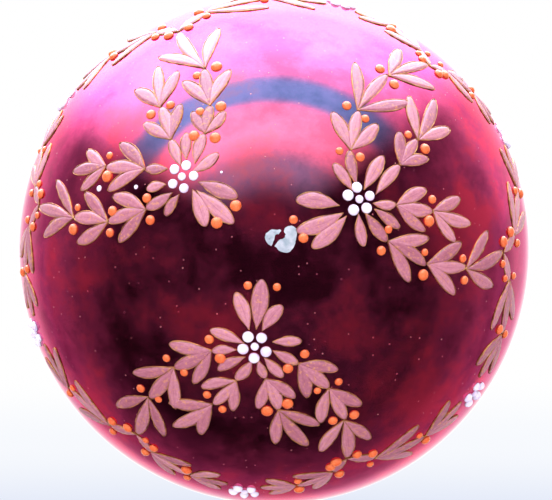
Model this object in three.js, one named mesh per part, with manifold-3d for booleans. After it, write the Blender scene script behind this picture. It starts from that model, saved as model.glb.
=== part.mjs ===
// Blown-glass Christmas ball with a raised enamel pattern, hanging from a spring-wire hanger in a metal cap.
// Millimetres, +Z up. The origin is the hang point: the inside top of the wire loop, where a hook carries it.
import * as THREE from 'three';
import { mergeVertices } from 'three/addons/utils/BufferGeometryUtils.js';
import Module from 'manifold-3d';

const wasm = await Module();
wasm.setup();

// ---- driving dimensions -------------------------------------------------------------------------
const GAP = 0.3; // clearance between pieces that touch
const RAD = Math.PI / 180;

// blown glass
const BALL_RADIUS = 40;
const GLASS_WALL = 0.7;
const NECK_RADIUS = 6;
const NECK_WALL = 0.9;
const NECK_HEIGHT = 7.6; // neck rim above the ball's top
const NECK_FILLET = 1.2;
const RIM_CHAMFER = 0.3;
const GLASS_SIDES = 30;
const GLASS_STEP = 12; // degrees of arc between the ball's profile points

// stamped cap
const CAP_WALL = 0.35;
const CAP_SIDES = 48;
const FLUTES = 12;
const FLUTE_DEPTH = 0.25;
const SHOULDER_DROP = 1.8; // from the crown down to where the flutes start
const WIRE_HOLE_RADIUS = 0.6;
const WIRE_HOLE_X = 2; // each wire hole's distance from the axis
const HOLE_SIDES = 12;

// spring-wire hanger
const WIRE_RADIUS = 0.4;
const WIRE_SIDES = 8;
const WIRE_STEPS = 34;
const LOOP_RADIUS = 3.6; // centreline of the loop
const LOOP_RISE = 6.3; // loop centre above the crown
const PIVOT_DROP = 1; // where each leg starts to flex, below the crown
const LEG_LENGTH = 28;
const LEG_CLEARANCE = 0.3; // between a leg and the neck's bore

// raised enamel and pearls
const ENAMEL_THICKNESS = 0.35;
const LEAF_SPREAD = 32; // degrees between the leaves of a fan
const LEAF_WIDEST = 0.55; // share of the leaf's length where it is widest
const LEAF_HALF_ANGLE = 14; // the widest point seen from the leaf's base
const FAN_NOTCH = 0.3; // share of the leaf's length where two leaves of a fan part
const FAN_HEEL = 0.8; // how far a fan reaches back behind its joint
const HUB_RADIUS = 2.7; // enamel disc under a flower's pearls
const HUB_SIDES = 8;
const PEARLS_AROUND = 5; // pearls in a ring round a middle one
const PEARL_RING = 1.9;
const PEARL_RADIUS = 0.8;
const PEARL_DIP = 0.6; // how far the cluster draws in and down between two pearls
const MIDDLE_PEARL_HEIGHT = 0.6;
const PEARL_SKIRT = 0.3; // height of a cluster's upright edge

// ---- heights above the ball's centre, worked out from the above ----------------------------------
const neckTop = BALL_RADIUS + NECK_HEIGHT;
const crownTop = neckTop + GAP + CAP_WALL;
const skirtBottom = BALL_RADIUS;
const boreRadius = NECK_RADIUS - NECK_WALL;
const loopCentre = crownTop + LOOP_RISE;
const hangPoint = loopCentre + LOOP_RADIUS - WIRE_RADIUS;
const pivotHeight = crownTop - PIVOT_DROP;
const enamelRadius = BALL_RADIUS + GAP;
const pearlBase = enamelRadius + ENAMEL_THICKNESS + GAP;

// ---- the pattern: places are (degrees from the pattern's pole, degrees round it) -----------------
// The lower half carries it round the bottom of the ball, and the upper half round the cap.
const RING_NODES = [[59, 170], [58, 113], [62, 48], [58, 358], [55, 290], [57, 235]];
// RING_PEARLS[i] lies between RING_NODES[i] and the next one
const RING_PEARLS = [[75, 144], [73, 74], [78, 26], [69, 324], [66, 264], [71, 200]];

// A branch leaves its flower at a heading (0 points away from the pole) and starts so many millimetres out.
// Its moves are [turn in degrees, leaf length]. A long branch ends at a ring node.
const FLOWERS = [
  {
    at: [21, 142],
    long: [
      { heading: 98, start: 2.5, moves: [[-32, 4.5], [-18, 6.5], [-20, 7]], node: 0 },
      { heading: -97, start: 2.5, moves: [[31, 4.5], [12, 4.5], [16, 7]], node: 1 },
    ],
    short: [
      { heading: 8, start: 2.5, moves: [[25, 3.5], [-6, 7], [7, 7]] },
      { heading: -44, start: 1.5, moves: [[17, 4.5], [0, 6], [-7, 8.5]] },
    ],
    single: [[61, -14, 3], [122, -27, 3.5], [-63, 14, 4], [-123, 18, 4.5]],
    inner: [[-162, 0, 6], [175, 3, 7], [169, -19, 5.5]],
  },
  {
    at: [20.5, 24],
    long: [
      { heading: 75, start: 2, moves: [[-3, 5], [-21, 6.5], [-26, 9.5]], node: 2 },
      { heading: -91, start: 2, moves: [[19, 5], [24, 7], [20, 7.5]], node: 3 },
    ],
    short: [
      { heading: -7, start: 2.5, moves: [[31, 6], [2, 5.5], [6, 9.5]] },
      { heading: -38, start: 2, moves: [[13, 3.5], [-2, 6], [-7, 7.5]] },
    ],
    single: [[106, -6, 4.5], [38, -2, 6], [-54, 0, 4.5], [-119, 17, 4.5]],
    inner: [[175, -28, 6], [-163, -21, 7], [-152, -11, 6.5]],
  },
  {
    at: [21, 264.5],
    long: [
      { heading: 82, start: 2.5, moves: [[-17, 4], [-15, 6], [-23, 6.5]], node: 4 },
      { heading: -73, start: 2.5, moves: [[-7, 3.5], [25, 6.5], [22, 7.5]], node: 5 },
    ],
    short: [
      { heading: 18, start: 2, moves: [[5, 3], [0, 5.5], [10, 8.5]] },
      { heading: -5, start: 2, moves: [[-25, 4], [-5, 5.5], [-10, 8.5]] },
    ],
    single: [[112, -18, 4], [43, 2, 4], [-35, -21, 4.5], [-103, -3, 5]],
    inner: [[-158, 0, 5.5], [180, -3, 7], [161, -11, 4.5]],
  },
];
const SINGLE_START = 2.2; // where a single leaf starts, from the flower's centre
const ARM_BOW = 25; // a ring arm bends by this at each of its joints
const ARM_LEAVES = [4, 7, 6]; // its three leaves before they are fitted between node and pearls
const ARM_END = 3.2; // the free space it leaves round the pearls' centre
const LAST_LEAF = 0.93; // a long branch's last leaf stops this short of its ring node

// round the cap the flowers sit further out, and their inner leaves are shorter
const UPPER_FLOWER_SHIFT = 5.5;
const UPPER_INNER_LEAF = 0.75;
const UPPER_TURN = 30;

// ---- materials ----------------------------------------------------------------------------------
const finish = (color, roughness, metalness) => new THREE.MeshStandardMaterial({ color, roughness, metalness });
const magentaGlass = () => finish(0x8a1f55, 0.08, 0.7);
const cappedMetal = () => finish(0xd9c08a, 0.25, 1);
const wireSteel = () => finish(0xd8d2c4, 0.3, 1);
const pinkEnamel = () => finish(0xcd7d96, 0.45, 0);
const pearlWhite = () => finish(0xf2e9f6, 0.25, 0);

const mesh = (name, geometry, material) => {
  const made = new THREE.Mesh(geometry, material);
  made.name = name;
  return made;
};

// ---- solids: closed geometries in and out of the boolean library ---------------------------------
function toSolid(geometry) {
  const bare = geometry.clone();
  bare.deleteAttribute('normal');
  bare.deleteAttribute('uv');
  const merged = mergeVertices(bare, 1e-4);
  const vertProperties = new Float32Array(merged.attributes.position.array);
  const triVerts = new Uint32Array(merged.index.array);
  return new wasm.Manifold(new wasm.Mesh({ numProp: 3, vertProperties, triVerts }));
}

function toGeometry(solid) {
  const { vertProperties, triVerts } = solid.getMesh();
  const geometry = new THREE.BufferGeometry();
  geometry.setAttribute('position', new THREE.BufferAttribute(vertProperties, 3));
  geometry.setIndex(new THREE.BufferAttribute(triVerts, 1));
  geometry.computeVertexNormals();
  return geometry;
}

const joined = (geometries) => toGeometry(geometries.map(toSolid).reduce((whole, next) => whole.add(next)));

const lathe = (points, sides) =>
  new THREE.LatheGeometry(points.map(([r, z]) => new THREE.Vector2(r, z)), sides).rotateX(Math.PI / 2);

const arcPoints = (centreR, centreZ, radius, fromDeg, toDeg, steps) =>
  Array.from({ length: steps + 1 }, (_, i) => {
    const a = (fromDeg + ((toDeg - fromDeg) * i) / steps) * RAD;
    return [centreR + radius * Math.cos(a), centreZ + radius * Math.sin(a)];
  });

// ---- glass ball: one blown shell with its neck, open at the rim ------------------------------------
function glassBall() {
  const filletR = NECK_RADIUS + NECK_FILLET;
  const filletZ = Math.sqrt((BALL_RADIUS + NECK_FILLET) ** 2 - filletR ** 2);
  const filletAngle = Math.atan2(filletZ, filletR) / RAD;
  const inner = BALL_RADIUS - GLASS_WALL;
  const boreAngle = Math.acos(boreRadius / inner) / RAD;
  const steps = (angle) => Math.round((angle + 90) / GLASS_STEP);
  const outerArc = arcPoints(0, 0, BALL_RADIUS, -90, filletAngle, steps(filletAngle));
  const fillet = arcPoints(filletR, filletZ, NECK_FILLET, filletAngle - 180, -180, 3).slice(1);
  const rim = [
    [NECK_RADIUS, neckTop - RIM_CHAMFER],
    [NECK_RADIUS - RIM_CHAMFER, neckTop],
    [boreRadius, neckTop],
  ];
  const innerArc = arcPoints(0, 0, inner, boreAngle, -90, steps(boreAngle));
  const outline = [...outerArc, ...fillet, ...rim, ...innerArc];
  outline[0][0] = 0;
  outline[outline.length - 1][0] = 0;
  return mesh('glass_ball', lathe(outline, GLASS_SIDES), magentaGlass());
}

// ---- cap: thin stamped cup with a fluted skirt and two holes for the wire --------------------------
function cap() {
  const top = crownTop;
  const low = skirtBottom;
  const outside = [[0, top], [5.7, top], [6.4, top - 0.25], [6.8, top - 0.9], [6.9, top - SHOULDER_DROP],
    [6.9, low + 1.3], [7.3, low]];
  const inside = [[6.95, low], [6.55, low + 1.3], [6.55, top - SHOULDER_DROP], [6.45, top - 1],
    [6.2, top - 0.55], [5.6, top - CAP_WALL], [0, top - CAP_WALL]];
  const shell = lathe([...outside, ...inside].reverse(), CAP_SIDES);
  flute(shell, top - SHOULDER_DROP, low);
  const holes = [-1, 1].map((side) =>
    new THREE.CylinderGeometry(WIRE_HOLE_RADIUS, WIRE_HOLE_RADIUS, 4 * CAP_WALL, HOLE_SIDES)
      .rotateX(Math.PI / 2)
      .translate(side * WIRE_HOLE_X, 0, top - CAP_WALL / 2));
  const drilled = holes.map(toSolid).reduce((solid, hole) => solid.subtract(hole), toSolid(shell));
  return mesh('cap', toGeometry(drilled), cappedMetal());
}

// presses outward flutes into a shell, from nothing at `from` to full depth at `to`
function flute(shell, from, to) {
  const position = shell.attributes.position;
  for (let i = 0; i < position.count; i += 1) {
    const [x, y, z] = [position.getX(i), position.getY(i), position.getZ(i)];
    const share = THREE.MathUtils.clamp((from - z) / (from - to), 0, 1);
    const wave = (1 + Math.cos(FLUTES * Math.atan2(y, x))) / 2;
    const r = Math.hypot(x, y);
    const grow = r > 0 ? 1 + (FLUTE_DEPTH * Math.sqrt(share) * wave) / r : 1;
    position.setXY(i, x * grow, y * grow);
  }
}

// ---- hanger: a spring-wire loop through the cap, and its two legs inside the neck --------------------
function wireSection() {
  const section = new THREE.Shape();
  for (let i = 0; i < WIRE_SIDES; i += 1) {
    const a = (2 * Math.PI * i) / WIRE_SIDES;
    const [x, y] = [WIRE_RADIUS * Math.cos(a), WIRE_RADIUS * Math.sin(a)];
    if (i === 0) section.moveTo(x, y);
    else section.lineTo(x, y);
  }
  return section;
}

function hangerLoop() {
  const sink = Math.asin(WIRE_HOLE_X / LOOP_RADIUS) / RAD; // the loop opens by this each side of its bottom
  const loopSteps = 14;
  const loop = arcPoints(0, loopCentre, LOOP_RADIUS, sink - 90, 270 - sink, loopSteps);
  const straight = [pivotHeight, crownTop + 1, crownTop + 2.4];
  const points = [
    ...straight.map((z) => [WIRE_HOLE_X, z]),
    ...loop,
    ...straight.map((z) => [-WIRE_HOLE_X, z]).reverse(),
  ].map(([x, z]) => new THREE.Vector3(x, 0, z));
  const path = new THREE.CatmullRomCurve3(points, false, 'centripetal');
  const wire = new THREE.ExtrudeGeometry(wireSection(), { steps: WIRE_STEPS, extrudePath: path });
  return mesh('hanger_loop', wire, wireSteel());
}

// A leg swings about its pivot so that it always clears the bore while the cap lifts off: its angle falls
// evenly with the lift, along the tangent of the bore's own limit at the middle of the travel.
function legSplay() {
  const inner = BALL_RADIUS - GLASS_WALL;
  const boreBottom = Math.sqrt(inner ** 2 - boreRadius ** 2);
  const reach = boreRadius - WIRE_RADIUS - LEG_CLEARANCE - WIRE_HOLE_X;
  const depth = pivotHeight - boreBottom;
  const middle = (depth + LEG_LENGTH) / 2;
  return (reach * LEG_LENGTH) / middle ** 2;
}

function hangerLeg(name, side) {
  const start = WIRE_RADIUS;
  const leg = new THREE.CylinderGeometry(WIRE_RADIUS, WIRE_RADIUS, LEG_LENGTH - start, WIRE_SIDES)
    .rotateX(Math.PI / 2)
    .translate(0, 0, -(LEG_LENGTH + start) / 2);
  const made = mesh(name, leg, wireSteel());
  made.position.set(side * WIRE_HOLE_X, 0, pivotHeight);
  made.rotation.y = -side * legSplay();
  return made;
}

// ---- walking on the ball: a spot on the unit sphere and a heading in its tangent plane ---------------
class Walker {
  constructor(spot, heading) {
    this.spot = spot;
    this.heading = heading;
  }

  static at([polar, around]) {
    const [p, a] = [polar * RAD, around * RAD];
    const spot = new THREE.Vector3(Math.sin(p) * Math.cos(a), Math.sin(p) * Math.sin(a), Math.cos(p));
    const outward = new THREE.Vector3(Math.cos(p) * Math.cos(a), Math.cos(p) * Math.sin(a), -Math.sin(p));
    return new Walker(spot, outward);
  }

  turned(degrees) {
    return new Walker(this.spot, this.heading.clone().applyAxisAngle(this.spot, degrees * RAD));
  }

  gone(distance) {
    const angle = distance / BALL_RADIUS;
    const spot = this.spot.clone().multiplyScalar(Math.cos(angle)).addScaledVector(this.heading, Math.sin(angle));
    const heading = this.heading.clone().multiplyScalar(Math.cos(angle))
      .addScaledVector(this.spot, -Math.sin(angle));
    return new Walker(spot, heading);
  }

  towards(other) {
    const heading = other.spot.clone().addScaledVector(this.spot, -this.spot.dot(other.spot)).normalize();
    return new Walker(this.spot, heading);
  }

  distanceTo(other) {
    return BALL_RADIUS * Math.acos(THREE.MathUtils.clamp(this.spot.dot(other.spot), -1, 1));
  }
}

// ---- one painted spray ------------------------------------------------------------------------------
// Its strokes are drawn as flat plates on a chart, which keeps distances and bearings from the spray's centre.
// They are joined there into one plate, which is then laid on the ball.
const leafEdge = (length, angle) => [
  [length * LEAF_WIDEST, angle - LEAF_HALF_ANGLE],
  [length, angle],
  [length * LEAF_WIDEST, angle + LEAF_HALF_ANGLE],
];

class Spray {
  constructor(centre) {
    this.centre = centre;
    this.strokes = [];
  }

  chart(spot) {
    const { spot: middle, heading } = this.centre;
    const aside = new THREE.Vector3().crossVectors(middle, heading);
    const distance = BALL_RADIUS * Math.acos(THREE.MathUtils.clamp(middle.dot(spot), -1, 1));
    const bearing = Math.atan2(spot.dot(aside), spot.dot(heading));
    return new THREE.Vector2(distance * Math.cos(bearing), distance * Math.sin(bearing));
  }

  // a stroke's corners are [distance, degrees] as seen from the walker
  stroke(walker, corners) {
    const outline = corners.map(([distance, degrees]) => this.chart(walker.turned(degrees).gone(distance).spot));
    const shape = new THREE.Shape(outline);
    this.strokes.push(new THREE.ExtrudeGeometry(shape, { depth: ENAMEL_THICKNESS, bevelEnabled: false }));
  }

  disc(radius, sides) {
    this.stroke(this.centre, Array.from({ length: sides }, (_, i) => [radius, (360 * i) / sides]));
  }

  leaf(walker, length) {
    this.stroke(walker, [[FAN_HEEL, 180], ...leafEdge(length, 0)]);
    return walker.gone(length);
  }

  fan(walker, length, sideShare = 0.95) {
    const notch = (angle) => [length * FAN_NOTCH, angle];
    this.stroke(walker, [
      [FAN_HEEL, 180],
      ...leafEdge(length * sideShare, -LEAF_SPREAD),
      notch(-LEAF_SPREAD / 2),
      ...leafEdge(length, 0),
      notch(LEAF_SPREAD / 2),
      ...leafEdge(length * sideShare, LEAF_SPREAD),
    ]);
    return walker.gone(length);
  }

  // a first single leaf, then a fan of three at every joint
  branch(walker, moves) {
    const [[firstTurn, firstLeaf], ...rest] = moves;
    const start = this.leaf(walker.turned(firstTurn), firstLeaf);
    return rest.reduce((at, [turn, length]) => this.fan(at.turned(turn), length), start);
  }

  mesh(name) {
    const plate = joined(this.strokes);
    const position = plate.attributes.position;
    for (let i = 0; i < position.count; i += 1) {
      const [x, y, z] = [position.getX(i), position.getY(i), position.getZ(i)];
      const walker = this.centre.turned(Math.atan2(y, x) / RAD).gone(Math.hypot(x, y));
      const { spot } = walker;
      position.setXYZ(i, ...spot.clone().multiplyScalar(enamelRadius + z).toArray());
    }
    plate.computeVertexNormals();
    return mesh(name, plate, pinkEnamel());
  }
}

function flowerSpray(name, flower, shift, innerShare) {
  const centre = Walker.at([flower.at[0] + shift, flower.at[1]]);
  const spray = new Spray(centre);
  spray.disc(HUB_RADIUS, HUB_SIDES);
  for (const { heading, start, moves, node } of flower.long) {
    const last = spray.branch(centre.turned(heading).gone(start), moves);
    const end = Walker.at(RING_NODES[node]);
    spray.fan(last.towards(end), last.distanceTo(end) * LAST_LEAF, 0.85);
  }
  for (const { heading, start, moves } of flower.short) {
    spray.branch(centre.turned(heading).gone(start), moves);
  }
  for (const [heading, turn, length] of flower.single) {
    spray.leaf(centre.turned(heading).gone(SINGLE_START).turned(turn), length);
  }
  for (const [heading, turn, length] of flower.inner) {
    spray.leaf(centre.turned(heading).gone(SINGLE_START).turned(turn), length * innerShare);
  }
  return spray.mesh(name);
}

// a garland: from one ring node an arm of leaves each way, bowed towards the ball's equator
function garland(name, index) {
  const node = Walker.at(RING_NODES[index]);
  const spray = new Spray(node);
  const before = (index + RING_PEARLS.length - 1) % RING_PEARLS.length;
  for (const [pearls, side] of [[index, -1], [before, 1]]) {
    const end = Walker.at(RING_PEARLS[pearls]);
    const [first, second, third] = ARM_LEAVES;
    const chord = (first + third) * Math.cos(ARM_BOW * RAD) + second;
    const fit = (node.distanceTo(end) - ARM_END) / chord;
    const start = node.towards(end).turned(-side * ARM_BOW);
    spray.branch(start, [[0, first * fit], [side * ARM_BOW, second * fit], [side * ARM_BOW, third * fit]]);
  }
  return spray.mesh(name);
}

// ---- pearls: five round one, as one low cluster with a lobe for each pearl ------------------------------
function pearlCluster(name, centre) {
  const outer = PEARL_RING + PEARL_RADIUS;
  const outline = [[0, 0], [outer, 0], [outer, PEARL_SKIRT], [PEARL_RING, PEARL_RADIUS],
    [PEARL_RADIUS, PEARL_SKIRT], [0, MIDDLE_PEARL_HEIGHT]];
  const cluster = lathe(outline, 2 * PEARLS_AROUND);
  const position = cluster.attributes.position;
  for (let i = 0; i < position.count; i += 1) {
    const [x, y, z] = [position.getX(i), position.getY(i), position.getZ(i)];
    const r = Math.hypot(x, y);
    const between = r < PEARL_RING - GAP ? 0 : (1 - Math.cos(PEARLS_AROUND * Math.atan2(y, x))) / 2;
    const drawn = r > PEARL_RING + GAP ? 1 - (PEARL_DIP * between) / r : 1;
    position.setXYZ(i, x * drawn, y * drawn, Math.min(z, PEARL_RADIUS - PEARL_DIP * between));
  }
  const place = new THREE.Matrix4().makeBasis(
    centre.heading,
    new THREE.Vector3().crossVectors(centre.spot, centre.heading),
    centre.spot,
  );
  cluster.applyMatrix4(place.setPosition(centre.spot.clone().multiplyScalar(pearlBase)));
  return mesh(name, cluster, pearlWhite());
}

// ---- one half of the pattern, about its own +Z pole ----------------------------------------------------
function decoratedHalf(half, shift, innerShare) {
  const group = new THREE.Group();
  FLOWERS.forEach((flower, i) => {
    const number = i + 1;
    group.add(flowerSpray(`${half}_flower_spray_${number}`, flower, shift, innerShare));
    const centre = Walker.at([flower.at[0] + shift, flower.at[1]]);
    group.add(pearlCluster(`${half}_flower_pearls_${number}`, centre));
  });
  RING_NODES.forEach((_, i) => {
    group.add(garland(`${half}_garland_${i + 1}`, i));
    group.add(pearlCluster(`${half}_ring_pearls_${i + 1}`, Walker.at(RING_PEARLS[i])));
  });
  return group;
}

// ---- assembly: everything is placed from the ball's centre, which hangs below the hang point -----------
const group = new THREE.Group();
const ball = new THREE.Group();
ball.position.z = -hangPoint;
group.add(ball);

const lower = decoratedHalf('lower', 0, 1);
lower.rotation.y = Math.PI;
const upper = decoratedHalf('upper', UPPER_FLOWER_SHIFT, UPPER_INNER_LEAF);
upper.rotation.z = UPPER_TURN * RAD;

ball.add(glassBall(), lower, upper, cap(), hangerLoop());
ball.add(hangerLeg('hanger_leg_right', 1), hangerLeg('hanger_leg_left', -1));

export default group;
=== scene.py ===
"""Glass Christmas ball with a raised enamel pattern, a fluted cap and a spring-wire hanger. Metres, +Z up."""

import math
import random

import bmesh
import bpy
from mathutils import Matrix, Vector


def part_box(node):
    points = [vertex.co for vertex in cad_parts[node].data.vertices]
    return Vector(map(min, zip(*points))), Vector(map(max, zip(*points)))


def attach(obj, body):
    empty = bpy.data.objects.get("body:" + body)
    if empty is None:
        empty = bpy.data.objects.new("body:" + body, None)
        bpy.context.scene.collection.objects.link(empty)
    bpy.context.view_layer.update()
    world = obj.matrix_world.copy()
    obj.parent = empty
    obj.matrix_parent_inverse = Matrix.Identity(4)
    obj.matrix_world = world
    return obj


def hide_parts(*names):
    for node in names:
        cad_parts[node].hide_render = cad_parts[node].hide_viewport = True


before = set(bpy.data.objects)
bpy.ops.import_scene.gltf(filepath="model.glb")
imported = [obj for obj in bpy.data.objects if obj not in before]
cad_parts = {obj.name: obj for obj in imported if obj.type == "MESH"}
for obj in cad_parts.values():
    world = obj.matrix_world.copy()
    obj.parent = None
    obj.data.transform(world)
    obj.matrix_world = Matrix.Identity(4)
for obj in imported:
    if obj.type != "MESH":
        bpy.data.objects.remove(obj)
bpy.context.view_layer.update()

# ---- sizes ---------------------------------------------------------------------------------------
MM = 0.001
BALL_RADIUS = 40 * MM
GLASS_WALL = 0.7 * MM
NECK_RADIUS = 6 * MM
NECK_WALL = 0.9 * MM
NECK_FILLET = 1.2 * MM
GLASS_SEGMENTS = 160
GLASS_STEP_DEG = 2

CAP_WALL = 0.35 * MM
CAP_SEGMENTS = 288
FLUTES = 12
FLUTE_DEPTH = 0.25 * MM
SHOULDER_DROP = 1.8 * MM
WIRE_HOLE_RADIUS = 0.6 * MM
WIRE_HOLE_X = 2 * MM
WIRE_RADIUS = 0.4 * MM
WIRE_TIP = 1.5  # a wire's end narrows over this many radii
WIRE_TIP_AREA = 0.12  # square of the share of the radius that is left at the very end
SHOULDER_HEIGHTS = (-0.3 * MM, 1 * MM, 2.4 * MM)  # where the loop's straight parts are held, from the crown
LOOP_STEP_DEG = 12
LEG_STEPS = 10

ENAMEL_THICKNESS = 0.26 * MM
ENAMEL_ROUNDING = (5, 12)  # powers of a leaf's section across and along it: the higher, the flatter its top
VEIN_DEPTH = 0.22  # share of the enamel's thickness
VEIN_WIDTH = 0.16  # share of the leaf's half-width
LEAF_SLIMMEST = 0.5 * MM  # a leaf's half-width is this, and a share of its length on top, up to the widest
LEAF_BROADENING = 0.07
LEAF_WIDEST = 0.95 * MM
INNER_LEAF_BREADTH = 1.2  # the leaves round a flower's inner side are broader than the rest
SIDE_LEAF = 0.95  # share of the middle leaf's length in a fan
LAST_SIDE_LEAF = 0.78  # the same in the last fan of a flower's branch
LEAF_FULLEST = 1.3  # above 1, the widest place moves towards the tip
LEAF_BASE_TAPER = 0.85  # power of the leaf's outline at its base: the lower, the blunter
LEAF_TIP_BLUNTNESS = 0.3  # how much lower that power is at the tip
LEAF_BREADTHS = (0.92, 1.08)  # how much hand-painted leaves vary in width
LEAF_DRIFT = 2.5  # degrees either way
LEAF_SICKLE = 0.05  # how far a leaf's middle bows aside, as a share of its length
LEAF_ROWS = 14
LEAF_COLUMNS = 8
LEAF_SPREAD = 32  # degrees between the leaves of a fan
OUTLINE_WIDTH = 0.12 * MM
OUTLINE_HEIGHT = 0.13 * MM
OUTLINE_CREST = 0.45  # the line's width at its top, as a share
OUTLINE_GRAIN = (0.6, 1.5)  # how thin and how thick the sprinkled outline gets, as shares
BERRY_RADIUS = 0.74 * MM
BERRY_SIZES = (0.72, 1.18)  # the range of sizes, as shares of the radius
BERRY_HEIGHT = 0.72  # share of its radius
BERRY_ASIDE = 1.6 * MM
BERRY_BEARING = 105  # degrees from the fan's heading
BERRY_DRIFT = 8  # degrees either way
PEARL_RING = 1.65 * MM
PEARL_RING_SIZES = (0.95, 1.06)
PEARL_RADIUS = 0.74 * MM
PEARL_SIZES = (0.9, 1.08)
PEARL_HEIGHT = 0.92  # share of its radius
PEARL_DRIFT = 6  # degrees either way
PEARL_DETAIL = (24, 8)  # sides and rings
MIDDLE_PEARL_RADIUS = 0.58 * MM
MIDDLE_PEARL_HEIGHT = 0.9
PEARLS_AROUND = 5
DROP_HEIGHT = 0.6
SINK = 0.03 * MM  # how far paint reaches into the glass, so that no gap shows

# ---- places, from the frame ----------------------------------------------------------------------
glass_low, glass_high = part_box("glass_ball")
cap_low, cap_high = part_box("cap")
BALL_CENTRE = Vector((0, 0, glass_low.z + BALL_RADIUS))
NECK_TOP = glass_high.z - BALL_CENTRE.z
CROWN_TOP = cap_high.z - BALL_CENTRE.z
SKIRT_BOTTOM = cap_low.z - BALL_CENTRE.z

# ---- the pattern: places are (degrees from the pattern's pole, degrees round it) -----------------
RING_NODES = [(59, 170), (58, 113), (62, 48), (58, 358), (55, 290), (57, 235)]
RING_PEARLS = [(75, 144), (73, 74), (78, 26), (69, 324), (66, 264), (71, 200)]

# Turns and headings are in degrees, and lengths in millimetres. A branch is (heading, start, moves): its
# heading from the flower, its start from the flower's centre, and a turn and a leaf length for each joint.
# A long branch ends at the ring node named last.
# A single or inner leaf is (heading, start, turn, length), and an inner berry (heading, distance).
FLOWERS = [
    {
        "at": (21, 142),
        "long": [
            (98, 2.5, [(-32, 4.5), (-18, 6.5), (-20, 7)], 0),
            (-97, 2.5, [(31, 4.5), (12, 4.5), (16, 7)], 1),
        ],
        "short": [
            (8, 2.5, [(25, 3.5), (-6, 7), (7, 7)]),
            (-44, 1.5, [(17, 4.5), (0, 6), (-7, 8.5)]),
        ],
        "single": [(61, 2.5, -14, 3), (122, 2.5, -27, 3.5), (-63, 2.5, 14, 4), (-123, 1.5, 18, 4.5)],
        "inner": [(-162, 2.5, 0, 6), (175, 3, 3, 7), (169, 2.5, -19, 5.5)],
        "inner_berries": [(-171, 8.8), (166, 8.3)],
    },
    {
        "at": (20.5, 24),
        "long": [
            (75, 2, [(-3, 5), (-21, 6.5), (-26, 9.5)], 2),
            (-91, 2, [(19, 5), (24, 7), (20, 7.5)], 3),
        ],
        "short": [
            (-7, 2.5, [(31, 6), (2, 5.5), (6, 9.5)]),
            (-38, 2, [(13, 3.5), (-2, 6), (-7, 7.5)]),
        ],
        "single": [(106, 1.5, -6, 4.5), (38, 1.5, -2, 6), (-54, 2.5, 0, 4.5), (-119, 2, 17, 4.5)],
        "inner": [(175, 3, -28, 6), (-163, 3, -21, 7), (-152, 3, -11, 6.5)],
        "inner_berries": [(174, 9.6), (-169, 9.5)],
    },
    {
        "at": (21, 264.5),
        "long": [
            (82, 2.5, [(-17, 4), (-15, 6), (-23, 6.5)], 4),
            (-73, 2.5, [(-7, 3.5), (25, 6.5), (22, 7.5)], 5),
        ],
        "short": [
            (18, 2, [(5, 3), (0, 5.5), (10, 8.5)]),
            (-5, 2, [(-25, 4), (-5, 5.5), (-10, 8.5)]),
        ],
        "single": [(112, 2.5, -18, 4), (43, 2, 2, 4), (-35, 2, -21, 4.5), (-103, 1.5, -3, 5)],
        "inner": [(-158, 2.5, 0, 5.5), (180, 2.5, -3, 7), (161, 2.5, -11, 4.5)],
        "inner_berries": [(-169, 8.6), (165, 8.9)],
    },
]
ARM_BOW = 25  # degrees at each joint of a garland's arm
ARM_LEAVES = (4, 7, 6)  # the arm's leaf lengths, as proportions of each other
ARM_END = 3.2  # free millimetres between the arm's tip and the pearls' centre
LAST_LEAF = 0.97  # how much of the way to its ring node a long branch's last leaf goes
UPPER_FLOWER_SHIFT = 5.5  # degrees that the upper flowers stand further from their pole
UPPER_INNER_LEAF = 0.75  # share of the lower inner leaves' length
UPPER_TURN = 30
PAINT_DROPS = [((38, 162), 0.45), ((29, 157), 0.33), ((16, 122), 0.18)]  # stray dots of pearl white

# a flake of lacquer has come off near the bottom pole, in two pieces: outlines in millimetres from the pole
FLAKES = [
    [(0.1, 0.5), (0.3, 1.0), (0.7, 1.3), (1.1, 1.5), (2.1, 1.5), (2.3, 1.3), (1.9, 0.9), (1.5, 0.8),
     (1.3, 0.1), (1.0, -0.7), (0.6, -0.5), (0.3, -0.1)],
    [(2.6, 1.3), (2.7, 1.6), (3.2, 2.0), (3.8, 2.0), (4.3, 1.7), (4.4, 1.2), (4.3, 0.1), (4.1, -0.6),
     (3.5, -1.5), (2.9, -1.6), (2.1, -1.4), (1.4, -0.7), (1.9, 0), (2.7, 0.4), (2.9, 0.8)],
]
FLAKE_THICKNESS = 0.04 * MM
FLAKE_STEPS = 3
FLAKE_RAGGEDNESS = 0.05  # millimetres

# the two halves of the pattern, each drawn about its own +Z pole
LOWER = Matrix.Translation(BALL_CENTRE) @ Matrix.Rotation(math.pi, 4, "Y")
UPPER = Matrix.Translation(BALL_CENTRE) @ Matrix.Rotation(math.radians(UPPER_TURN), 4, "Z")


# ---- node trees ----------------------------------------------------------------------------------
def add_node(tree, kind, inputs=None, **settings):
    """Adds a node. An input given as a socket is linked, and one given as a value is set."""
    made = tree.nodes.new(kind)
    for key, value in settings.items():
        setattr(made, key, value)
    for socket, value in (inputs or {}).items():
        if isinstance(value, bpy.types.NodeSocket):
            tree.links.new(value, made.inputs[socket])
        else:
            made.inputs[socket].default_value = value
    return made


def fill_ramp(ramp, stops):
    while len(ramp.elements) < len(stops):
        ramp.elements.new(0.5)
    for element, (position, color) in zip(ramp.elements, stops):
        element.position = position
        element.color = (*color, 1)


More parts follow.
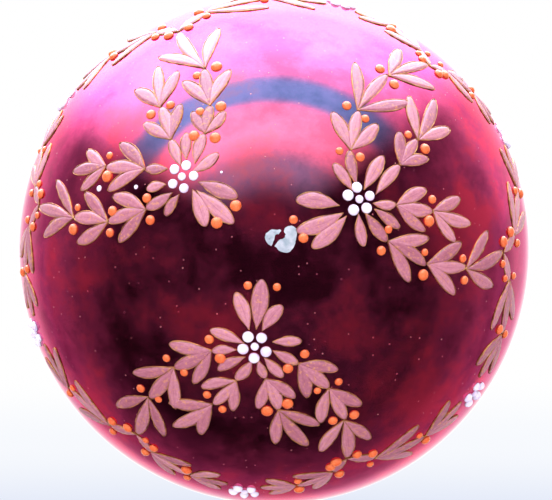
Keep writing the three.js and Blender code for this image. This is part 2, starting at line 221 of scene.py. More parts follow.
# ---- materials -----------------------------------------------------------------------------------
class Paint:
    """A node material being built around one Principled shader."""

    def __init__(self, name, **sockets):
        self.material = bpy.data.materials.new(name)
        self.material.use_nodes = True
        self.tree = self.material.node_tree
        self.shader = self.tree.nodes["Principled BSDF"]
        for socket, value in sockets.items():
            self.shader.inputs[socket.replace("_", " ")].default_value = value

    def node(self, kind, inputs=None, **settings):
        return add_node(self.tree, kind, inputs, **settings)

    def link(self, output, socket):
        self.tree.links.new(output, self.shader.inputs[socket])

    def place(self, stretch=(1, 1, 1), source="Object"):
        coordinates = self.node("ShaderNodeTexCoord").outputs[source]
        mapping = self.node("ShaderNodeMapping", {"Vector": coordinates, "Scale": stretch})
        return mapping.outputs["Vector"]

    def noise(self, scale, detail=4.0, roughness=0.55, vector=None):
        inputs = {"Vector": vector or self.place(), "Scale": scale, "Detail": detail, "Roughness": roughness}
        return self.node("ShaderNodeTexNoise", inputs).outputs["Fac"]

    def math(self, operation, a, b=0.0):
        return self.node("ShaderNodeMath", {0: a, 1: b}, operation=operation).outputs[0]

    def ramp(self, value, *stops):
        made = self.node("ShaderNodeValToRGB", {"Fac": value})
        fill_ramp(made.color_ramp, stops)
        return made.outputs["Color"]

    def range(self, value, low, high, from_low=0.3, from_high=0.7):
        inputs = {"Value": value, "From Min": from_low, "From Max": from_high, "To Min": low, "To Max": high}
        return self.node("ShaderNodeMapRange", inputs).outputs["Result"]

    def mix(self, factor, a, b):
        inputs = {"Factor": factor, "A": a, "B": b}
        made = self.node("ShaderNodeMix", data_type="RGBA")
        for socket, value in inputs.items():
            target = [s for s in made.inputs if s.name == socket and s.enabled][0]
            if isinstance(value, bpy.types.NodeSocket):
                self.tree.links.new(value, target)
            else:
                target.default_value = value
        return [s for s in made.outputs if s.enabled][0]

    def bump(self, height, strength, distance):
        inputs = {"Height": height, "Strength": strength, "Distance": distance}
        self.link(self.node("ShaderNodeBump", inputs).outputs["Normal"], "Normal")


def lacquered_glass():
    paint = Paint("lacquered_glass", Coat_Weight=0.45, Coat_Roughness=0.03, Coat_IOR=1.45,
                  Specular_Tint=(0.95, 0.22, 0.50, 1))
    clouds = paint.noise(62, 7, 0.68)
    base = paint.ramp(
        clouds, (0.36, (0.36, 0.030, 0.11)), (0.5, (0.62, 0.056, 0.17)), (0.62, (0.92, 0.050, 0.12))
    )
    cells = paint.node("ShaderNodeTexVoronoi", {"Vector": paint.place(), "Scale": 900.0})
    small = paint.math("LESS_THAN", cells.outputs["Distance"], 0.09)
    chosen = paint.node("ShaderNodeSeparateColor", {"Color": cells.outputs["Color"]}).outputs["Red"]
    specks = paint.math("MULTIPLY", small, paint.range(chosen, 0.0, 1.0, 0.4, 1.0))
    paint.link(paint.mix(specks, base, (0.52, 0.17, 0.18, 1)), "Base Color")
    shine = paint.range(clouds, 0.99, 0.90, 0.42, 0.66)
    dulled = paint.math("SUBTRACT", 1.0, paint.math("MULTIPLY", specks, 0.7))
    paint.link(paint.math("MULTIPLY", shine, dulled), "Metallic")
    haze = paint.range(paint.noise(130, 6), 0.05, 0.12)
    paint.link(paint.math("ADD", haze, paint.math("MULTIPLY", specks, 0.4)), "Roughness")
    paint.bump(paint.math("ADD", paint.noise(28, 2), paint.math("MULTIPLY", specks, 0.2)), 0.15, 0.0004)
    return paint.material


def silvered_flake():
    paint = Paint("silvered_flake", Metallic=0.25, Coat_Weight=0.4, Coat_Roughness=0.15)
    silver = paint.ramp(paint.noise(900, 5), (0.35, (0.32, 0.36, 0.43)), (0.65, (0.60, 0.56, 0.64)))
    paint.link(silver, "Base Color")
    paint.link(paint.range(paint.noise(1500, 4), 0.25, 0.45), "Roughness")
    paint.bump(paint.noise(1200, 4), 0.2, 0.0001)
    return paint.material


def pink_enamel():
    paint = Paint("pink_enamel", Specular_IOR_Level=0.85, Specular_Tint=(0.85, 0.75, 1.0, 1))
    streaks = paint.noise(1.0, 5, vector=paint.place((3, 16, 1), "UV"))
    tint = paint.node("ShaderNodeAttribute", attribute_name="tint").outputs["Fac"]
    grain = paint.noise(2400, 4, 0.7)
    strokes = paint.math("ADD", paint.math("MULTIPLY", streaks, 0.45), paint.math("MULTIPLY", grain, 0.35))
    shade = paint.math("ADD", strokes, paint.math("MULTIPLY", tint, 0.2))
    body = paint.ramp(
        shade, (0.34, (0.31, 0.075, 0.115)), (0.5, (0.45, 0.135, 0.185)), (0.68, (0.62, 0.235, 0.29))
    )
    across = paint.node("ShaderNodeSeparateXYZ", {"Vector": paint.place(source="UV")}).outputs["Y"]
    offset = paint.math("ABSOLUTE", paint.math("SUBTRACT", across, 0.5))
    vein = paint.range(offset, 0.35, 0.0, 0.0, 0.07)
    veined = paint.mix(vein, body, (0.30, 0.06, 0.10, 1))
    rim = paint.range(offset, 0.0, 0.35, 0.38, 0.5)
    rimmed = paint.mix(rim, veined, (0.66, 0.30, 0.33, 1))
    flecks = paint.range(paint.noise(2000, 3), 0.0, 0.65, 0.57, 0.64)
    paint.link(paint.mix(flecks, rimmed, (0.62, 0.24, 0.085, 1)), "Base Color")
    paint.link(paint.range(streaks, 0.28, 0.48), "Roughness")
    paint.bump(paint.math("ADD", streaks, grain), 0.35, 0.0001)
    return paint.material


def gold_outline():
    paint = Paint("gold_outline", Metallic=0.55)
    gold = paint.ramp(paint.noise(700, 4), (0.36, (0.30, 0.09, 0.035)), (0.64, (0.82, 0.37, 0.13)))
    paint.link(gold, "Base Color")
    paint.link(paint.range(paint.noise(1600, 3), 0.28, 0.5), "Roughness")
    paint.bump(paint.noise(3000, 3), 0.3, 0.0001)
    return paint.material


def orange_berry():
    paint = Paint("orange_berry", Coat_Weight=0.6, Coat_Roughness=0.08)
    orange = paint.ramp(paint.noise(900, 4), (0.3, (0.70, 0.095, 0.024)), (0.7, (0.82, 0.165, 0.05)))
    paint.link(orange, "Base Color")
    paint.link(paint.range(paint.noise(2200, 3), 0.22, 0.36), "Roughness")
    paint.bump(paint.noise(2600, 3), 0.15, 0.0001)
    return paint.material


def pearl_white():
    paint = Paint("pearl_white", Coat_Weight=0.6, Coat_Roughness=0.06)
    sheen = paint.noise(420, 3)
    pearl = paint.ramp(
        sheen, (0.34, (0.70, 0.52, 0.76)), (0.5, (0.84, 0.70, 0.86)), (0.66, (0.90, 0.74, 0.86))
    )
    paint.link(pearl, "Base Color")
    paint.link(paint.range(paint.noise(1800, 3), 0.16, 0.3), "Roughness")
    paint.bump(sheen, 0.1, 0.0001)
    return paint.material


def stamped_gold():
    paint = Paint("stamped_gold", Metallic=1.0)
    tarnish = paint.noise(260, 6)
    gold = paint.ramp(
        tarnish, (0.28, (0.34, 0.24, 0.10)), (0.55, (0.60, 0.44, 0.20)), (0.8, (0.70, 0.54, 0.28))
    )
    paint.link(gold, "Base Color")
    grain = paint.noise(1.0, 4, vector=paint.place((2600, 2600, 220)))
    paint.link(paint.range(grain, 0.34, 0.5), "Roughness")
    paint.bump(paint.math("ADD", grain, tarnish), 0.12, 0.0001)
    return paint.material


def spring_wire():
    paint = Paint("spring_wire", Metallic=1.0)
    drawn = paint.noise(1.0, 4, vector=paint.place((3200, 3200, 160)))
    paint.link(paint.ramp(drawn, (0.3, (0.26, 0.245, 0.22)), (0.7, (0.42, 0.40, 0.36))), "Base Color")
    paint.link(paint.range(paint.noise(900, 4), 0.3, 0.45), "Roughness")
    paint.bump(drawn, 0.1, 0.0001)
    return paint.material


def pale_floor():
    paint = Paint("pale_floor", Roughness=1.0, Specular_IOR_Level=0.0)
    pale = paint.ramp(paint.noise(3, 3), (0.3, (0.60, 0.60, 0.62)), (0.7, (0.64, 0.64, 0.65)))
    paint.link(pale, "Base Color")
    return paint.material


GLASS = lacquered_glass()
FLAKE = silvered_flake()
ENAMEL = pink_enamel()
OUTLINE = gold_outline()
BERRY = orange_berry()
PEARL = pearl_white()
GOLD = stamped_gold()
WIRE = spring_wire()


# ---- meshes --------------------------------------------------------------------------------------
class Surface:
    """Points and faces of one piece: a material slot for each face, a UV and a tint for each point."""

    def __init__(self, materials):
        self.materials = materials
        self.points, self.faces, self.slots, self.uvs, self.tints = [], [], [], [], []

    def add(self, points, faces, slot=0, uvs=None, tint=0.5):
        start = len(self.points)
        self.points += points
        self.faces += [[start + i for i in face] for face in faces]
        self.slots += [slot] * len(faces)
        self.uvs += uvs or [(0, 0)] * len(points)
        self.tints += [tint] * len(points)

    def piece(self, name, matrix=Matrix.Identity(4)):
        mesh = bpy.data.meshes.new(name)
        mesh.from_pydata([matrix @ p for p in self.points], [], self.faces)
        mesh.polygons.foreach_set("material_index", self.slots)
        mesh.polygons.foreach_set("use_smooth", [True] * len(self.faces))
        layer = mesh.uv_layers.new(name="UVMap")
        for loop in mesh.loops:
            layer.data[loop.index].uv = self.uvs[loop.vertex_index]
        mesh.attributes.new("tint", "FLOAT", "POINT").data.foreach_set("value", self.tints)
        for material in self.materials:
            mesh.materials.append(material)
        mesh.update()
        made = bpy.data.objects.new(name, mesh)
        bpy.context.scene.collection.objects.link(made)
        return made


def grid_faces(rows, columns, wrap_rows=False, wrap_columns=False):
    """Quads over a grid of points that are numbered row by row."""

    def index(r, c):
        return (r % rows) * columns + c % columns

    return [
        (index(r, c), index(r, c + 1), index(r + 1, c + 1), index(r + 1, c))
        for r in range(rows if wrap_rows else rows - 1)
        for c in range(columns if wrap_columns else columns - 1)
    ]


def revolve(name, outline, segments, material, bend=None):
    """Turns an axis-to-axis outline of (radius, height) about the ball's axis. bend adds to the radius."""
    surface = Surface([material])
    ring_of = []
    for r, z in outline:
        if r < 1e-7:
            ring_of.append([len(surface.points)] * segments)
            surface.points.append(Vector((0, 0, z)))
            continue
        ring_of.append([len(surface.points) + s for s in range(segments)])
        for s in range(segments):
            a = math.tau * s / segments
            rr = r + (bend(a, r, z) if bend else 0)
            surface.points.append(Vector((rr * math.cos(a), rr * math.sin(a), z)))
    for low, high in zip(ring_of, ring_of[1:]):
        for s in range(segments):
            t = (s + 1) % segments
            corners = [low[s], low[t], high[t], high[s]]
            surface.faces.append(list(dict.fromkeys(corners)))
    count = len(surface.points)
    surface.slots, surface.uvs, surface.tints = [0] * len(surface.faces), [(0, 0)] * count, [0.5] * count
    return surface.piece(name, Matrix.Translation(BALL_CENTRE))


def arc(centre_r, centre_z, radius, start, end, step):
    """Points on an arc, from start to end in degrees, about step degrees apart."""
    count = max(1, round(abs(end - start) / step))
    angles = [math.radians(start + (end - start) * i / count) for i in range(count + 1)]
    return [(centre_r + radius * math.cos(a), centre_z + radius * math.sin(a)) for a in angles]


# ---- glass ball ----------------------------------------------------------------------------------
def glass_ball():
    """The blown shell: ball, fillet, neck with a round rim, and the hollow inside."""
    fillet_r = NECK_RADIUS + NECK_FILLET
    fillet_z = math.sqrt((BALL_RADIUS + NECK_FILLET) ** 2 - fillet_r**2)
    fillet_angle = math.degrees(math.atan2(fillet_z, fillet_r))
    inner = BALL_RADIUS - GLASS_WALL
    bore = NECK_RADIUS - NECK_WALL
    bore_angle = math.degrees(math.acos(bore / inner))
    rim = NECK_WALL / 2
    outline = [
        *arc(0, 0, BALL_RADIUS, -90, fillet_angle, GLASS_STEP_DEG),
        *arc(fillet_r, fillet_z, NECK_FILLET, fillet_angle - 180, -180, 15)[1:],
        *arc(bore + rim, NECK_TOP - rim, rim, 0, 180, 22.5),
        *arc(0, 0, inner, bore_angle, -90, GLASS_STEP_DEG),
    ]
    outline[0] = (0, -BALL_RADIUS)
    outline[-1] = (0, -inner)
    made = revolve("glass_ball_shell", outline, GLASS_SEGMENTS, GLASS)
    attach(made, "glass")
    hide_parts("glass_ball")


# ---- cap and hanger ------------------------------------------------------------------------------
def cap():
    """A thin stamped cap: a crown, a rounded shoulder, and a fluted skirt that flares at its hem."""
    top, low = CROWN_TOP, SKIRT_BOTTOM

    def at(points):
        return [(r * MM, z) for r, z in points]

    outside = at([
        (0, top), (5.7, top), (6.1, top - 0.08 * MM), (6.4, top - 0.25 * MM), (6.65, top - 0.5 * MM),
        (6.8, top - 0.9 * MM), (6.9, top - SHOULDER_DROP), (6.9, low + 4.5 * MM), (6.9, low + 3 * MM),
        (6.9, low + 1.6 * MM), (7.0, low + 0.9 * MM), (7.2, low + 0.3 * MM), (7.3, low),
    ])
    inside = at([
        (6.95, low), (6.85, low + 0.35 * MM), (6.65, low + 0.95 * MM), (6.55, low + 1.6 * MM),
        (6.55, low + 3 * MM), (6.55, low + 4.5 * MM), (6.55, top - SHOULDER_DROP), (6.45, top - 1 * MM),
        (6.2, top - 0.55 * MM), (5.6, top - CAP_WALL), (0, top - CAP_WALL),
    ])

    def flute(angle, _, z):
        share = min(max((top - SHOULDER_DROP - z) / (top - SHOULDER_DROP - low), 0), 1)
        wave = (1 + math.cos(FLUTES * angle)) / 2
        return FLUTE_DEPTH * math.sqrt(share) * wave

    made = revolve("cap_shell", [*outside, *inside][::-1], CAP_SEGMENTS, GOLD, flute)
    drill_wire_holes(made)
    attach(made, "cap")
    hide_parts("cap")


def drill_wire_holes(shell):
    for side in (-1, 1):
        bpy.ops.mesh.primitive_cylinder_add(
            vertices=32,
            radius=WIRE_HOLE_RADIUS,
            depth=4 * CAP_WALL,
            location=BALL_CENTRE + Vector((side * WIRE_HOLE_X, 0, CROWN_TOP - CAP_WALL / 2)),
        )
        drill = bpy.context.object
        cut = shell.modifiers.new("hole", "BOOLEAN")
        cut.operation, cut.object, cut.solver = "DIFFERENCE", drill, "EXACT"
        evaluated = shell.evaluated_get(bpy.context.evaluated_depsgraph_get())
        drilled = bpy.data.meshes.new_from_object(evaluated)
        shell.modifiers.clear()
        shell.data = drilled
        bpy.data.objects.remove(drill)


def wire_piece(name, points, body, node):
    """A round wire through the points, with closed round ends, as a mesh."""
    curve = bpy.data.curves.new(name, "CURVE")
    curve.dimensions = "3D"
    curve.bevel_depth, curve.bevel_resolution, curve.use_fill_caps = WIRE_RADIUS, 6, True
    spline = curve.splines.new("POLY")
    spline.points.add(len(points) - 1)
    ends = WIRE_RADIUS * WIRE_TIP
    length = [0.0]
    for a, b in zip(points, points[1:]):
        length.append(length[-1] + (b - a).length)
    for i, (point, at) in enumerate(zip(spline.points, length)):
        point.co = (*points[i], 1)
        near = min(at, length[-1] - at)
        point.radius = math.sqrt(max(WIRE_TIP_AREA, 1 - (1 - min(near / ends, 1)) ** 2))
    draft = bpy.data.objects.new(name + "_draft", curve)
    bpy.context.scene.collection.objects.link(draft)
    mesh = bpy.data.meshes.new_from_object(draft.evaluated_get(bpy.context.evaluated_depsgraph_get()))
    bpy.data.objects.remove(draft)
    mesh.materials.clear()
    mesh.materials.append(WIRE)
    mesh.polygons.foreach_set("use_smooth", [True] * len(mesh.polygons))
    made = bpy.data.objects.new(name, mesh)
    bpy.context.scene.collection.objects.link(made)
    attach(made, body)
    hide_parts(node)


def smooth_path(points, count):
    """A uniform Catmull-Rom curve through the given points, with count steps from each one to the next."""
    padded = [2 * points[0] - points[1], *points, 2 * points[-1] - points[-2]]
    path = []
    for a, b, c, d in zip(padded, padded[1:], padded[2:], padded[3:]):
        for i in range(count):
            t = i / count
            path.append(0.5 * (2 * b + (c - a) * t + (2 * a - 5 * b + 4 * c - d) * t**2
                               + (3 * b - a - 3 * c + d) * t**3))
    return [*path, points[-1]]


def with_tips(points):
    """Adds points close to both ends, so that the wire's rounded tips have something to bend on."""
    first = [points[0].lerp(points[1], t) for t in (0.0, 0.04, 0.1, 0.2)]
    last = [points[-1].lerp(points[-2], t) for t in (0.2, 0.1, 0.04, 0.0)]
    return [*first, *points[1:-1], *last]


def hanger():
    """The loop, bent from the two straight parts that come up through the cap, and the two legs below it."""
    loop_low, loop_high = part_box("hanger_loop")
    radius = (loop_high.x - loop_low.x) / 2 - WIRE_RADIUS
    centre_z = loop_high.z - WIRE_RADIUS - radius
    opening = math.degrees(math.asin(WIRE_HOLE_X / radius))
    crown = BALL_CENTRE.z + CROWN_TOP
    heights = [loop_low.z, *(crown + height for height in SHOULDER_HEIGHTS)]
    straight = [(WIRE_HOLE_X, z) for z in heights]
    loop = arc(0, centre_z, radius, opening - 90, 270 - opening, LOOP_STEP_DEG)
    other = [(-x, z) for x, z in reversed(straight)]
    points = [Vector((x, 0, z)) for x, z in [*straight, *loop, *other]]
    wire_piece("hanger_wire_loop", with_tips(smooth_path(points, 6)), "hanger", "hanger_loop")
    for side, name in ((1, "right"), (-1, "left")):
        low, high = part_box(f"hanger_leg_{name}")
        near, far = sorted((abs(low.x), abs(high.x)))
        lean = math.atan2(far - near - 2 * WIRE_RADIUS, high.z - low.z)
        inset = WIRE_RADIUS * Vector((math.cos(lean), 0, math.sin(lean)))
        top = Vector((side * (near + inset.x), 0, high.z - inset.z))
        bottom = Vector((side * (far - inset.x), 0, low.z + inset.z))
        leg = [top.lerp(bottom, step / LEG_STEPS) for step in range(LEG_STEPS + 1)]
        wire_piece(f"hanger_wire_leg_{name}", with_tips(leg), f"leg_{name}", f"hanger_leg_{name}")


# ---- walking on the ball: a spot on the unit sphere and a heading in its tangent plane -----------
class Walker:
    def __init__(self, spot, heading):
        self.spot, self.heading = spot, heading

    @staticmethod
    def at(place):
        p, a = (math.radians(x) for x in place)
        spot = Vector((math.sin(p) * math.cos(a), math.sin(p) * math.sin(a), math.cos(p)))
        outward = Vector((math.cos(p) * math.cos(a), math.cos(p) * math.sin(a), -math.sin(p)))
        return Walker(spot, outward)

    def turned(self, degrees):
        a = math.radians(degrees)
        return Walker(self.spot, self.heading * math.cos(a) + self.spot.cross(self.heading) * math.sin(a))

    def gone(self, distance):
        a = distance / BALL_RADIUS
        return Walker(self.spot * math.cos(a) + self.heading * math.sin(a),
                      self.heading * math.cos(a) - self.spot * math.sin(a))

    def towards(self, other):
        return Walker(self.spot, (other.spot - self.spot * self.spot.dot(other.spot)).normalized())

    def distance_to(self, other):
        return BALL_RADIUS * math.acos(max(-1.0, min(1.0, self.spot.dot(other.spot))))

    def point(self, along, aside, height):
        """A point above the ball, reached by going along the heading and then aside to the left."""
        return self.gone(along).turned(90).gone(aside).spot * (BALL_RADIUS + height)


# ---- painted leaves, berries and pearls ----------------------------------------------------------
class Spray:
    """One painted spray: leaves with their outlines, and the berries that go with it."""

    def __init__(self, seed):
        self.random = random.Random(seed)
        self.leaves = Surface([ENAMEL, OUTLINE])
        self.berries = Surface([BERRY])

    def leaf(self, walker, length, breadth=1.0):
        drawn = walker.turned(self.random.uniform(-LEAF_DRIFT, LEAF_DRIFT))
        sickle = self.random.uniform(-LEAF_SICKLE, LEAF_SICKLE) * length
        broad = min(LEAF_SLIMMEST + LEAF_BROADENING * length, LEAF_WIDEST)
        width = breadth * broad * self.random.uniform(*LEAF_BREADTHS)
        tint = self.random.random()

        def half_width(u):
            return width * math.sin(math.pi * u**LEAF_FULLEST) ** (LEAF_BASE_TAPER - LEAF_TIP_BLUNTNESS * u)

        def middle(u):
            return sickle * math.sin(math.pi * u)

        self.blade(drawn, length, half_width, middle, tint)
        self.outline(drawn, length, half_width, middle)
        return walker.gone(length)

    def blade(self, walker, length, half_width, middle, tint):
        """The leaf's painted body: a low pillow with a shallow vein along its middle."""
        side_power, end_power = ENAMEL_ROUNDING
        points, uvs = [], []
        for r in range(LEAF_ROWS + 1):
            u = 0.5 - 0.5 * math.cos(math.pi * (0.03 + 0.94 * r / LEAF_ROWS))
            for c in range(LEAF_COLUMNS + 1):
                v = math.sin(math.pi / 2 * (2 * c / LEAF_COLUMNS - 1))
                edge = (1 - abs(v) ** side_power) * (1 - abs(2 * u - 1) ** end_power)
                groove = VEIN_DEPTH * math.exp(-((v / VEIN_WIDTH) ** 2)) * math.sin(math.pi * u)
                height = ENAMEL_THICKNESS * (edge - groove * edge) - SINK * (1 - edge)
                points.append(walker.point(u * length, middle(u) + v * half_width(u), height))
                uvs.append((u, (v + 1) / 2))
        faces = grid_faces(LEAF_ROWS + 1, LEAF_COLUMNS + 1)
        faces = [face[::-1] for face in faces]
        rim = [r * (LEAF_COLUMNS + 1) for r in range(LEAF_ROWS + 1)]
        faces += [(a, b, b + LEAF_COLUMNS, a + LEAF_COLUMNS)[::-1] for a, b in zip(rim, rim[1:])]
        first, last = 0, LEAF_ROWS * (LEAF_COLUMNS + 1)
        faces.append(tuple(range(first, first + LEAF_COLUMNS + 1)))
        faces.append(tuple(range(last, last + LEAF_COLUMNS + 1))[::-1])
        self.leaves.add(points, faces, 0, uvs, tint)

    def outline(self, walker, length, half_width, middle):
        """A thin raised line round the leaf's edge, a closed loop with a four-sided section."""
        shares = [i / LEAF_ROWS for i in range(LEAF_ROWS + 1)]
        side = [0.5 - 0.5 * math.cos(math.pi * (0.02 + 0.96 * share)) for share in shares]
        track = [(u, 1) for u in side] + [(u, -1) for u in reversed(side)]
        half = OUTLINE_WIDTH / 2
        crest = half * OUTLINE_CREST
        section = [(-half, -SINK), (-crest, OUTLINE_HEIGHT), (crest, OUTLINE_HEIGHT), (half, -SINK)]
        points = []
        for u, sign in track:
            grain = self.random.uniform(*OUTLINE_GRAIN)
            for out, height in section:
                aside = middle(u) + sign * (half_width(u) + out * grain)
                points.append(walker.point(u * length, aside, height * grain))
        faces = grid_faces(len(track), len(section), wrap_rows=True, wrap_columns=True)
        self.leaves.add(points, faces, 1)

    def berry(self, walker):
        radius = BERRY_RADIUS * self.random.uniform(*BERRY_SIZES)
        self.berries.add(*dome(walker, radius, BERRY_HEIGHT * radius))

    def fan(self, walker, length, side_share=SIDE_LEAF, berries=True):
        """Three leaves from one joint, with a berry on either side of it. Returns the middle leaf's tip."""
        for angle, share in ((-LEAF_SPREAD, side_share), (LEAF_SPREAD, side_share), (0, 1)):
            self.leaf(walker.turned(angle), length * share)
        if berries:
            for side in (-1, 1):
                drift = self.random.uniform(-BERRY_DRIFT, BERRY_DRIFT)
                self.berry(walker.turned(side * BERRY_BEARING + drift).gone(BERRY_ASIDE))
        return walker.gone(length)

    def branch(self, walker, moves, last_share=SIDE_LEAF, first_berries=True):
        """A single leaf and then a fan at each further joint. Returns the last tip."""
        (turn, length), *rest = moves
        at = self.leaf(walker.turned(turn), length * MM)
        for number, (turn, length) in enumerate(rest, 1):
            share = last_share if number == len(rest) else SIDE_LEAF
            at = self.fan(at.turned(turn), length * MM, share, first_berries or number > 1)
        return at

    def pieces(self, node, matrix):
        leaves = self.leaves.piece(node + "_leaves", matrix)
        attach(leaves, "glass")
        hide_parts(node)
        berries = self.berries.piece(node + "_berries", matrix)
        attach(berries, "glass")


def dome(walker, radius, height, sides=20, rings=6):
    """Points and faces of a closed low dome standing on the ball."""
    points = []
    for ring in range(rings):
        a = math.pi / 2 * ring / rings
        for side in range(sides):
            spot = walker.turned(360 * side / sides).gone(radius * math.cos(a))
            points.append(spot.spot * (BALL_RADIUS - SINK + (height + SINK) * math.sin(a)))
    faces = grid_faces(rings, sides, wrap_columns=True)
    top = len(points)
    points.append(walker.spot * (BALL_RADIUS + height))
    last = (rings - 1) * sides
    faces += [(last + s, last + (s + 1) % sides, top) for s in range(sides)]
    faces.append(tuple(range(sides))[::-1])
    return points, faces


def flower_spray(node, flower, shift, inner_share, matrix, seed):
    """All the branches and leaves that grow from one flower."""
    centre = Walker.at((flower["at"][0] + shift, flower["at"][1]))
    spray = Spray(seed)
    for heading, start, moves, ring_node in flower["long"]:
        last = spray.branch(centre.turned(heading).gone(start * MM), moves)
        end = Walker.at(RING_NODES[ring_node])
        spray.fan(last.towards(end), last.distance_to(end) * LAST_LEAF, LAST_SIDE_LEAF)
    for heading, start, moves in flower["short"]:
        spray.branch(centre.turned(heading).gone(start * MM), moves, LAST_SIDE_LEAF, first_berries=False)
    for heading, start, turn, length in flower["single"]:
        spray.leaf(centre.turned(heading).gone(start * MM).turned(turn), length * MM)
    for heading, start, turn, length in flower["inner"]:
        base = centre.turned(heading).gone(start * MM).turned(turn)
        spray.leaf(base, length * inner_share * MM, INNER_LEAF_BREADTH)
    for heading, distance in flower["inner_berries"]:
        spray.berry(centre.turned(heading).gone(distance * inner_share * MM))
    spray.pieces(node, matrix)


def garland(node, index, matrix, seed):
    """Two leafy arms from a ring node, each in a bow that ends short of the pearls on its side."""
    start = Walker.at(RING_NODES[index])
    spray = Spray(seed)
    first, second, third = ARM_LEAVES
    chord = (first + third) * math.cos(math.radians(ARM_BOW)) + second
    for pearls, side in ((index, -1), (index - 1, 1)):
        end = Walker.at(RING_PEARLS[pearls])
        fit = (start.distance_to(end) / MM - ARM_END) / chord
        bow = side * ARM_BOW
        moves = [(0, first * fit), (bow, second * fit), (bow, third * fit)]
        spray.branch(start.towards(end).turned(-bow), moves)
    for side in (-1, 1):
        spray.berry(start.turned(side * 90).gone(BERRY_ASIDE))
    spray.pieces(node, matrix)


def pearl_cluster(node, place, matrix, seed):
    """A small pearl with a ring of larger ones round it, a little uneven."""
    wobble = random.Random(seed)
    centre = Walker.at(place)
    surface = Surface([PEARL])
    surface.add(*dome(centre, MIDDLE_PEARL_RADIUS, MIDDLE_PEARL_RADIUS * MIDDLE_PEARL_HEIGHT, *PEARL_DETAIL))
    for i in range(PEARLS_AROUND):
        bearing = 360 / PEARLS_AROUND * i + wobble.uniform(-PEARL_DRIFT, PEARL_DRIFT)
        spot = centre.turned(bearing).gone(PEARL_RING * wobble.uniform(*PEARL_RING_SIZES))
        radius = PEARL_RADIUS * wobble.uniform(*PEARL_SIZES)
        surface.add(*dome(spot, radius, radius * PEARL_HEIGHT, *PEARL_DETAIL))
    made = surface.piece(node + "_beads", matrix)
    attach(made, "glass")
    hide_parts(node)


def decorated_half(half, matrix, shift, inner_share):
    for i, flower in enumerate(FLOWERS):
        number = i + 1
        flower_spray(f"{half}_flower_spray_{number}", flower, shift, inner_share, matrix, number)
        centre = (flower["at"][0] + shift, flower["at"][1])
        pearl_cluster(f"{half}_flower_pearls_{number}", centre, matrix, 30 + number)
    for i, place in enumerate(RING_PEARLS):
        number = i + 1
        garland(f"{half}_garland_{number}", i, matrix, 10 + number)
        pearl_cluster(f"{half}_ring_pearls_{number}", place, matrix, 40 + number)


def paint_drops():
    surface = Surface([PEARL])
    for place, radius in PAINT_DROPS:
        surface.add(*dome(Walker.at(place), radius * MM, radius * DROP_HEIGHT * MM))
    made = surface.piece("stray_paint_drops", LOWER)
    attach(made, "glass")


# ---- the bare flake near the bottom pole ---------------------------------------------------------
def bare_flake(name, outline):
    """A thin raised island with a ragged outline, given in millimetres from the pattern's pole."""
    corners = [Vector((x, y, 0)) for x, y in outline]
    ragged = random.Random(len(corners))
    edge = []
    for a, b in zip(corners, [*corners[1:], corners[0]]):
        for step in range(FLAKE_STEPS):
            jitter = Vector((ragged.uniform(-1, 1), ragged.uniform(-1, 1), 0)) * FLAKE_RAGGEDNESS
            edge.append(a.lerp(b, step / FLAKE_STEPS) + jitter)
    pole = Walker.at((0, 0))

    def lifted(p, height):
        towards = pole.turned(math.degrees(math.atan2(p.y, p.x)))
        return towards.gone(p.length * MM).spot * (BALL_RADIUS + height)

    made = bmesh.new()
    low = [made.verts.new(LOWER @ lifted(p, -SINK)) for p in edge]
    high = [made.verts.new(LOWER @ lifted(p, FLAKE_THICKNESS)) for p in edge]
    for i in range(len(edge)):
        j = (i + 1) % len(edge)
        made.faces.new((low[i], low[j], high[j], high[i]))
    bmesh.ops.triangulate(made, faces=[made.faces.new(high), made.faces.new(low[::-1])])
    bmesh.ops.recalc_face_normals(made, faces=made.faces)
    mesh = bpy.data.meshes.new(name)
    made.to_mesh(mesh)
    made.free()
    mesh.materials.append(FLAKE)
    piece = bpy.data.objects.new(name, mesh)
    bpy.context.scene.collection.objects.link(piece)
    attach(piece, "glass")


# ---- camera, light and floor ---------------------------------------------------------------------
CAMERA_LENS = 107
CAMERA_OFFSET = Vector((-8.7, -7.0, -259.8)) * MM  # from the ball's centre, almost straight below it
AIM_OFFSET = Vector((-0.3, -0.2, 0)) * MM  # the ball sits a touch left of and above the middle
FLOOR_HEIGHT = -0.62


def camera():
    data = bpy.data.cameras.new("camera")
    data.lens = CAMERA_LENS
    made = bpy.data.objects.new("camera", data)
    bpy.context.scene.collection.objects.link(made)
    place = BALL_CENTRE + CAMERA_OFFSET
    back = (place - BALL_CENTRE - AIM_OFFSET).normalized()
    right = Vector((0, 1, 0)).cross(back).normalized()
    up = back.cross(right)
    made.matrix_world = Matrix.Translation(place) @ Matrix((right, up, back)).transposed().to_4x4()
    bpy.context.scene.camera = made


def soft_light(name, place, size, power, color):
    """An area light aimed at the ball and kept out of its reflections, which come from the surroundings."""
    data = bpy.data.lights.new(name, "AREA")
    data.shape = "RECTANGLE"
    data.size, data.size_y = size
    data.energy, data.color = power, color
    made = bpy.data.objects.new(name, data)
    bpy.context.scene.collection.objects.link(made)
    made.location = BALL_CENTRE + Vector(place)
    made.rotation_euler = (-Vector(place)).to_track_quat("-Z", "Y").to_euler()
    made.visible_camera = False
    made.visible_glossy = False


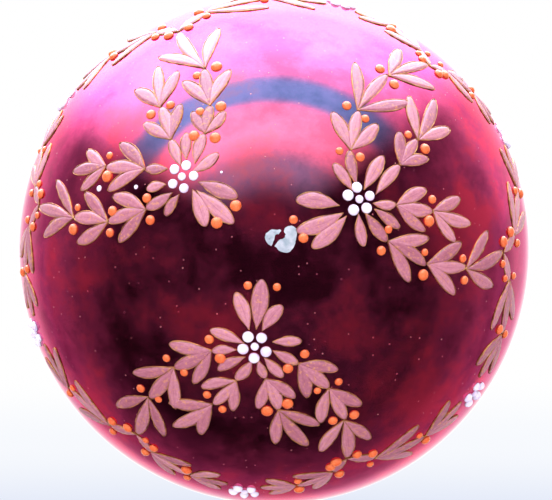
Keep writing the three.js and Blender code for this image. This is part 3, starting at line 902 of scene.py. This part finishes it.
WINDOW_BANDS = [  # the window side, by the direction's height from -1 straight below to 1 above
    (-0.96, (0.04, 0.03, 0.04)), (-0.82, (0.50, 1.9, 1.5)), (-0.62, (4.2, 4.8, 3.6)),
    (-0.50, (4.0, 4.7, 3.7)), (-0.40, (0.40, 4.2, 4.0)), (-0.25, (0.45, 4.4, 4.2)),
    (-0.12, (4.5, 5.2, 5.3)), (0.20, (7.0, 8.0, 8.5)), (0.62, (7.8, 9.0, 9.4)), (1.0, (2.0, 2.1, 2.1)),
]
ROOM_BANDS = [  # everywhere else
    (-1.0, (0.026, 0.020, 0.024)), (-0.38, (0.016, 0.010, 0.012)), (-0.09, (0.11, 0.07, 0.10)),
    (0.37, (0.37, 0.28, 0.34)), (0.49, (0.50, 0.45, 0.52)), (0.73, (1.15, 1.3, 1.2)), (1.2, (1.7, 1.9, 1.8)),
]
ROOM_LEAN = 0.42  # the room is lighter on the window's side
WINDOW_SIDE = (0.10, 0.995, 0)
WINDOW_EDGES = (0.52, 0.93)  # cosines of the azimuths where the window has faded out, and where it is full
SEEN_OVERHEAD = (0.6, 0.9)  # heights between which the backdrop goes from plain white to the bands below
SEEN_BANDS_WITH_PAINTED_SHADE = [  # what the camera sees behind the ball from below: white, and low in the picture a pale blue band of painted shade, standing in for the shadow under the ball
    (-1.0, (1, 1, 1)), (-0.3, (1, 1, 1)), (-0.15, (0.70, 0.76, 0.92)),
    (-0.09, (0.93, 0.95, 0.99)), (-0.05, (1, 1, 1)), (1.0, (1, 1, 1)),
]


def studio_world():
    """Surroundings that the ball mirrors, and for the camera itself plain white with a pale blue band of
    painted shade low down.
    """
    world = bpy.data.worlds.new("studio")
    bpy.context.scene.world = world
    world.use_nodes = True
    tree = world.node_tree
    tree.nodes.clear()

    def node(kind, inputs=None, output=0, **settings):
        return add_node(tree, kind, inputs, **settings).outputs[output]

    def bands(height, stops):
        low, high = stops[0][0], stops[-1][0]
        share = node("ShaderNodeMapRange", {"Value": height, "From Min": low, "From Max": high})
        made = add_node(tree, "ShaderNodeValToRGB", {"Fac": share})
        made.color_ramp.interpolation = "EASE"
        fill_ramp(made.color_ramp, [((position - low) / (high - low), color) for position, color in stops])
        return made.outputs["Color"]

    direction = node("ShaderNodeTexCoord", output="Generated")
    split = add_node(tree, "ShaderNodeSeparateXYZ", {0: direction})
    leaned = node("ShaderNodeMath", {0: split.outputs["Y"], 1: ROOM_LEAN, 2: split.outputs["Z"]},
                  operation="MULTIPLY_ADD")
    level = node("ShaderNodeVectorMath", {0: direction, 1: (1, 1, 0)}, operation="MULTIPLY")
    along = node("ShaderNodeVectorMath", {0: level}, operation="NORMALIZE")
    toward = node("ShaderNodeVectorMath", {0: along, 1: WINDOW_SIDE}, "Value", operation="DOT_PRODUCT")
    faded, full = WINDOW_EDGES
    mask = node("ShaderNodeMapRange", {"Value": toward, "From Min": faded, "From Max": full},
                interpolation_type="SMOOTHSTEP")
    room = node("ShaderNodeBackground", {"Color": bands(leaned, ROOM_BANDS)})
    window = node("ShaderNodeBackground", {"Color": bands(split.outputs["Z"], WINDOW_BANDS)})
    mirrored = node("ShaderNodeMixShader", {0: mask, 1: room, 2: window})
    camera_ray = node("ShaderNodeLightPath", output="Is Camera Ray")
    above, top = SEEN_OVERHEAD
    overhead = node("ShaderNodeMapRange", {"Value": split.outputs["Z"], "From Min": above, "From Max": top})
    plain = node("ShaderNodeBackground", {"Color": (1, 1, 1, 1)})
    # the camera's own backdrop: white, with the pale blue band of painted shade low down
    banded = node("ShaderNodeBackground", {"Color": bands(split.outputs["Y"], SEEN_BANDS_WITH_PAINTED_SHADE)})
    seen = node("ShaderNodeMixShader", {0: overhead, 1: plain, 2: banded})
    shown = node("ShaderNodeMixShader", {0: camera_ray, 1: mirrored, 2: seen})
    add_node(tree, "ShaderNodeOutputWorld", {"Surface": shown})


def floor():
    bpy.ops.mesh.primitive_plane_add(size=40, location=(0, 0, FLOOR_HEIGHT))
    made = bpy.context.object
    made.name = "floor"
    made.data.materials.append(pale_floor())
    made.visible_glossy = False


def lights():
    soft_light("window", (0.2, 0.8, -0.2), (0.9, 0.5), 3, (0.52, 0.68, 1.0))
    soft_light("overhead", (0.1, -0.2, 0.8), (0.9, 0.9), 6, (1.0, 0.98, 0.96))
    soft_light("fill_below", (0.0, 0.1, -0.45), (0.7, 0.7), 1.5, (1.0, 0.95, 0.95))


bpy.context.scene.view_settings.view_transform = "Standard"
camera()
studio_world()
floor()
lights()
glass_ball()
cap()
hanger()
decorated_half("lower", LOWER, 0, 1)
decorated_half("upper", UPPER, UPPER_FLOWER_SHIFT, UPPER_INNER_LEAF)
paint_drops()
for number, flake in enumerate(FLAKES, 1):
    bare_flake(f"bare_flake_{number}", flake)
